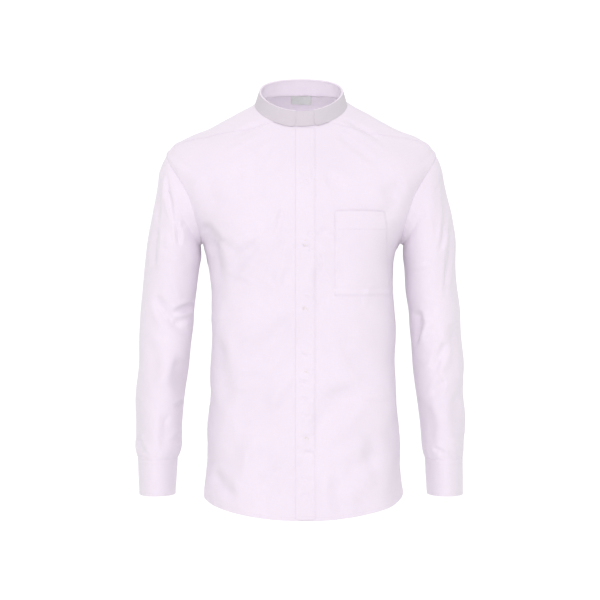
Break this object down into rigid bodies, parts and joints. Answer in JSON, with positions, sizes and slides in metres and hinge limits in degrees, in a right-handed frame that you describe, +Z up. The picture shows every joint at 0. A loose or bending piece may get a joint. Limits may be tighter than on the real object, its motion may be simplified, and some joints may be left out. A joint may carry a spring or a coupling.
{
  "type": "clergy shirt",
  "caption": "Long-sleeved shirt with a round stand collar and slip-in tab, a covered front, a chest pocket, plain cuffs and a curved hem, filled out as if worn.",
  "frame": {"origin": "the middle of the neck, level with the points where the collar meets the shoulders, where the wearer's neck and shoulders hold the shirt", "axes": "+Z up, -Y towards the front, +X towards the wearer's left"},
  "size_m": [0.6033, 0.2699, 0.8201],
  "materials": {
    "shirting": "smooth plain-weave cotton blend",
    "collar_cloth": "stiffened plain weave",
    "tab": "smooth, slightly satin",
    "label": "woven satin ribbon, blank",
    "buttons": "polished"
  },
  "bodies": {
    "root": {"front_left": "shirting", "front_right": "shirting", "back": "shirting", "yoke": "shirting", "front_strip": "shirting", "chest_pocket": "shirting", "sleeve_left": "shirting", "sleeve_right": "shirting", "sleeve_strip_left": "shirting", "sleeve_strip_right": "shirting", "cuff_left": "shirting", "cuff_right": "shirting", "collar_stand": "collar_cloth", "collar_fall": "collar_cloth", "collar_tab": "tab", "neck_label": "label", "front_button_1": "buttons", "front_button_2": "buttons", "front_button_3": "buttons", "front_button_4": "buttons", "front_button_5": "buttons", "cuff_button_left": "buttons", "cuff_button_right": "buttons"}
  },
  "joints": []
}
